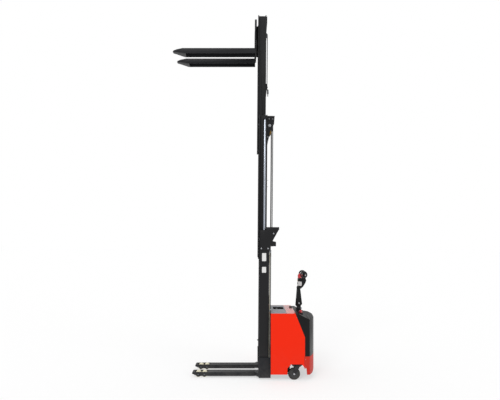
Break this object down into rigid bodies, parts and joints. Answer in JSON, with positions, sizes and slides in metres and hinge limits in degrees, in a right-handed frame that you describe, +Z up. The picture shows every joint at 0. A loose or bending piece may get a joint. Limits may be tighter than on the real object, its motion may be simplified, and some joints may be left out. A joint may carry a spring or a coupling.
{
  "type": "walkie stacker",
  "caption": "Pedestrian electric stacker with a raised three-stage mast, pencil-nosed forks over wheeled support legs, red-sided battery body and a steering tiller.",
  "frame": {"origin": "centre of the bounding box on the floor, mast raised", "axes": "-X towards the fork tips, +Y towards the drive wheel side, +Z up"},
  "size_m": [1.9964, 0.8, 5.0793],
  "materials": {
    "mast_paint": "satin black paint on rolled steel",
    "frame_paint": "satin black paint on plate steel",
    "red_paint": "gloss orange-red paint",
    "lid_grey": "moulded grey lid",
    "black_cover": "moulded black cover",
    "black_moulding": "fine-grained black moulding",
    "red_plastic": "gloss red button",
    "grey_plastic": "light grey button",
    "rod_chrome": "hard chromed rod",
    "roller_steel": "turned steel",
    "zinc": "zinc-plated fastener",
    "chain_steel": "oiled leaf chain",
    "pulley_gold": "amber nylon pulley",
    "hose_rubber": "hydraulic hose",
    "pipe_steel": "yellow-passivated pipe",
    "cream_pu": "cream polyurethane tread",
    "wheel_rubber": "solid dark tyre",
    "drive_pu": "brown polyurethane drive tyre",
    "unit_iron": "grey drive unit",
    "battery_case": "coated battery box, stands in for lead-acid density",
    "controller_metal": "finned housing",
    "pack_metal": "hydraulic pack, grey"
  },
  "bodies": {
    "frame": {"outer_mast": "mast_paint", "lift_barrels": "mast_paint", "main_chains_rear": "chain_steel", "lift_hose_rear": "hose_rubber", "mast_pipes": "pipe_steel", "mast_bolts": "zinc", "chassis": "frame_paint", "leg_left": "frame_paint", "leg_right": "frame_paint", "load_axles": "zinc", "steering_chain": "chain_steel", "instrument": "black_moulding", "side_panel_left": "red_paint", "side_panel_right": "red_paint", "top_panel": "red_paint", "rear_cover": "black_cover", "lower_guard": "red_paint", "battery": "battery_case", "power_pack": "pack_metal", "controller": "controller_metal"},
    "middle_stage": {"middle_mast": "mast_paint", "lift_rods": "rod_chrome"},
    "inner_stage": {"inner_mast": "mast_paint", "freelift_barrel": "mast_paint", "main_chains_front": "chain_steel", "lift_hose_front": "hose_rubber", "freelift_chain_rear": "chain_steel"},
    "carriage": {"fork_carriage": "mast_paint", "fork_left": "mast_paint", "fork_right": "mast_paint", "freelift_chain_front": "chain_steel"},
    "crosshead": {"freelift_rod": "rod_chrome"},
    "outer_top_rollers": {"outer_top_rollers": "roller_steel"},
    "middle_foot_rollers": {"middle_foot_rollers": "roller_steel"},
    "middle_top_rollers": {"middle_top_rollers": "roller_steel"},
    "inner_foot_rollers": {"inner_foot_rollers": "roller_steel"},
    "carriage_lower_rollers": {"carriage_lower_rollers": "roller_steel"},
    "carriage_upper_rollers": {"carriage_upper_rollers": "roller_steel"},
    "main_sheaves": {"main_sheaves": "roller_steel"},
    "hose_pulley": {"hose_pulley": "pulley_gold"},
    "freelift_sheave": {"freelift_sheave": "roller_steel"},
    "load_roller_left_front": {"load_roller_left_front": "cream_pu"},
    "load_roller_left_rear": {"load_roller_left_rear": "cream_pu"},
    "load_roller_right_front": {"load_roller_right_front": "cream_pu"},
    "load_roller_right_rear": {"load_roller_right_rear": "cream_pu"},
    "castor_fork": {"castor_fork": "frame_paint"},
    "castor_wheel": {"castor_wheel": "wheel_rubber"},
    "drive_unit": {"drive_unit": "unit_iron"},
    "drive_wheel": {"drive_wheel": "drive_pu"},
    "tiller_column": {"tiller_column": "frame_paint"},
    "throttle": {"throttle": "black_moulding"},
    "belly_button": {"belly_button": "red_plastic"},
    "horn_button": {"horn_button": "grey_plastic"},
    "lift_button": {"lift_button": "grey_plastic"},
    "lower_button": {"lower_button": "grey_plastic"},
    "key_switch": {"key_switch": "zinc"},
    "emergency_stop": {"emergency_stop": "red_plastic"},
    "battery_lid": {"battery_lid": "lid_grey"},
    "tiller": {"tiller_arm": "black_moulding", "tiller_head": "black_moulding"}
  },
  "joints": [
    {"name": "middle_lift", "type": "slide", "parent": "frame", "child": "middle_stage", "axis": [0.0073, 0, 1], "range_m": [-1.553, 0], "deforming": ["main_chains_rear", "lift_hose_rear"]},
    {"name": "inner_lift", "type": "slide", "parent": "middle_stage", "child": "inner_stage", "axis": [0.0073, 0, 1], "range_m": [-1.553, 0], "deforming": ["main_chains_front", "lift_hose_front"]},
    {"name": "carriage_lift", "type": "slide", "parent": "inner_stage", "child": "carriage", "axis": [0.0073, 0, 1], "range_m": [-1.394, 0], "deforming": ["freelift_chain_front"]},
    {"name": "crosshead_lift", "type": "slide", "parent": "inner_stage", "child": "crosshead", "axis": [0.0073, 0, 1], "range_m": [-0.697, 0], "deforming": ["freelift_chain_rear"]},
    {"name": "outer_top_roll", "type": "hinge", "parent": "frame", "child": "outer_top_rollers", "pos_m": [0.25523, 0, 1.92881], "axis": [0, 1, 0], "range_deg": [-2150, 0]},
    {"name": "middle_foot_roll", "type": "hinge", "parent": "middle_stage", "child": "middle_foot_rollers", "pos_m": [0.29486, 0, 1.71452], "axis": [0, 1, 0], "range_deg": [-2150, 0]},
    {"name": "middle_top_roll", "type": "hinge", "parent": "middle_stage", "child": "middle_top_rollers", "pos_m": [0.24704, 0, 3.54092], "axis": [0, 1, 0], "range_deg": [-2150, 0]},
    {"name": "inner_foot_roll", "type": "hinge", "parent": "inner_stage", "child": "inner_foot_rollers", "pos_m": [0.27104, 0, 3.24073], "axis": [0, 1, 0], "range_deg": [-2150, 0]},
    {"name": "carriage_low_roll", "type": "hinge", "parent": "carriage", "child": "carriage_lower_rollers", "pos_m": [0.2594, 0, 4.65285], "axis": [0, 1, 0], "range_deg": [-1930, 0]},
    {"name": "carriage_top_roll", "type": "hinge", "parent": "carriage", "child": "carriage_upper_rollers", "pos_m": [0.25708, 0, 4.90988], "axis": [0, 1, 0], "range_deg": [0, 1930]},
    {"name": "main_sheave_turn", "type": "hinge", "parent": "middle_stage", "child": "main_sheaves", "pos_m": [0.36303, 0, 3.52507], "axis": [0, 1, 0], "range_deg": [-1985, 0]},
    {"name": "hose_pulley_turn", "type": "hinge", "parent": "middle_stage", "child": "hose_pulley", "pos_m": [0.35743, -0.145, 3.4431], "axis": [0, 1, 0], "range_deg": [-2975, 0]},
    {"name": "freelift_sheave_turn", "type": "hinge", "parent": "crosshead", "child": "freelift_sheave", "pos_m": [0.29791, 0, 4.87358], "axis": [0, 1, 0], "range_deg": [-1005, 0]},
    {"name": "load_roll_left_front", "type": "hinge", "parent": "frame", "child": "load_roller_left_front", "pos_m": [-0.63782, -0.194, 0.04], "axis": [0, 1, 0], "continuous": true},
    {"name": "load_roll_left_rear", "type": "hinge", "parent": "frame", "child": "load_roller_left_rear", "pos_m": [-0.55082, -0.194, 0.04], "axis": [0, 1, 0], "continuous": true},
    {"name": "load_roll_right_front", "type": "hinge", "parent": "frame", "child": "load_roller_right_front", "pos_m": [-0.63782, 0.194, 0.04], "axis": [0, 1, 0], "continuous": true},
    {"name": "load_roll_right_rear", "type": "hinge", "parent": "frame", "child": "load_roller_right_rear", "pos_m": [-0.55082, 0.194, 0.04], "axis": [0, 1, 0], "continuous": true},
    {"name": "castor_swivel", "type": "hinge", "parent": "frame", "child": "castor_fork", "pos_m": [0.73618, -0.354, 0.204], "axis": [0, 0, 1], "continuous": true},
    {"name": "castor_roll", "type": "hinge", "parent": "castor_fork", "child": "castor_wheel", "pos_m": [0.69219, -0.354, 0.082], "axis": [0, 1, 0], "continuous": true},
    {"name": "drive_steer", "type": "hinge", "parent": "frame", "child": "drive_unit", "pos_m": [0.79119, 0.28, 0.33], "axis": [0, 0, 1], "range_deg": [-90, 90]},
    {"name": "drive_roll", "type": "hinge", "parent": "drive_unit", "child": "drive_wheel", "pos_m": [0.79119, 0.28, 0.105], "axis": [0, 1, 0], "continuous": true},
    {"name": "tiller_steer", "type": "hinge", "parent": "frame", "child": "tiller_column", "pos_m": [0.79119, 0, 0.925], "axis": [0, 0, 1], "range_deg": [-90, 90]},
    {"name": "tiller_tilt", "type": "hinge", "parent": "tiller_column", "child": "tiller", "pos_m": [0.79119, 0, 1.005], "axis": [0, 1, 0], "range_deg": [0, 85]},
    {"name": "throttle_turn", "type": "hinge", "parent": "tiller", "child": "throttle", "pos_m": [0.82518, 0, 1.337], "axis": [0, 1, 0], "range_deg": [-30, 30], "stiffness_Nm_per_rad": 1},
    {"name": "horn_press", "type": "slide", "parent": "tiller", "child": "horn_button", "axis": [1, 0, 0], "range_m": [0, 0.003], "stiffness_N_per_m": 300, "springref_m": -0.002},
    {"name": "lift_press", "type": "slide", "parent": "tiller", "child": "lift_button", "axis": [1, 0, 0], "range_m": [0, 0.003], "stiffness_N_per_m": 300, "springref_m": -0.002},
    {"name": "lower_press", "type": "slide", "parent": "tiller", "child": "lower_button", "axis": [1, 0, 0], "range_m": [0, 0.003], "stiffness_N_per_m": 300, "springref_m": -0.002},
    {"name": "belly_press", "type": "slide", "parent": "tiller", "child": "belly_button", "axis": [0, 0, 1], "range_m": [-0.004, 0], "stiffness_N_per_m": 800, "springref_m": 0.003},
    {"name": "key_turn", "type": "hinge", "parent": "frame", "child": "key_switch", "pos_m": [0.68419, 0.07, 0.914], "axis": [0, 0, 1], "range_deg": [-90, 0]},
    {"name": "stop_press", "type": "slide", "parent": "frame", "child": "emergency_stop", "axis": [0, 0, 1], "range_m": [-0.005, 0]},
    {"name": "lid_hinge", "type": "hinge", "parent": "frame", "child": "battery_lid", "pos_m": [0.58718, 0, 0.914], "axis": [0, 1, 0], "range_deg": [0, 75]}
  ],
  "couplings": [
    {"joint": "inner_lift", "follows": "middle_lift", "ratio": 1},
    {"joint": "crosshead_lift", "follows": "carriage_lift", "ratio": 0.5},
    {"joint": "outer_top_roll", "follows": "middle_lift", "rad_per_m": 24.096},
    {"joint": "middle_foot_roll", "follows": "middle_lift", "rad_per_m": 24.096},
    {"joint": "middle_top_roll", "follows": "middle_lift", "rad_per_m": 24.096},
    {"joint": "inner_foot_roll", "follows": "middle_lift", "rad_per_m": 24.096},
    {"joint": "carriage_low_roll", "follows": "carriage_lift", "rad_per_m": 24.096},
    {"joint": "carriage_top_roll", "follows": "carriage_lift", "rad_per_m": -24.096},
    {"joint": "main_sheave_turn", "follows": "middle_lift", "rad_per_m": 22.222},
    {"joint": "hose_pulley_turn", "follows": "middle_lift", "rad_per_m": 33.333},
    {"joint": "freelift_sheave_turn", "follows": "carriage_lift", "rad_per_m": 12.5},
    {"joint": "tiller_steer", "follows": "drive_steer", "ratio": 1}
  ]
}
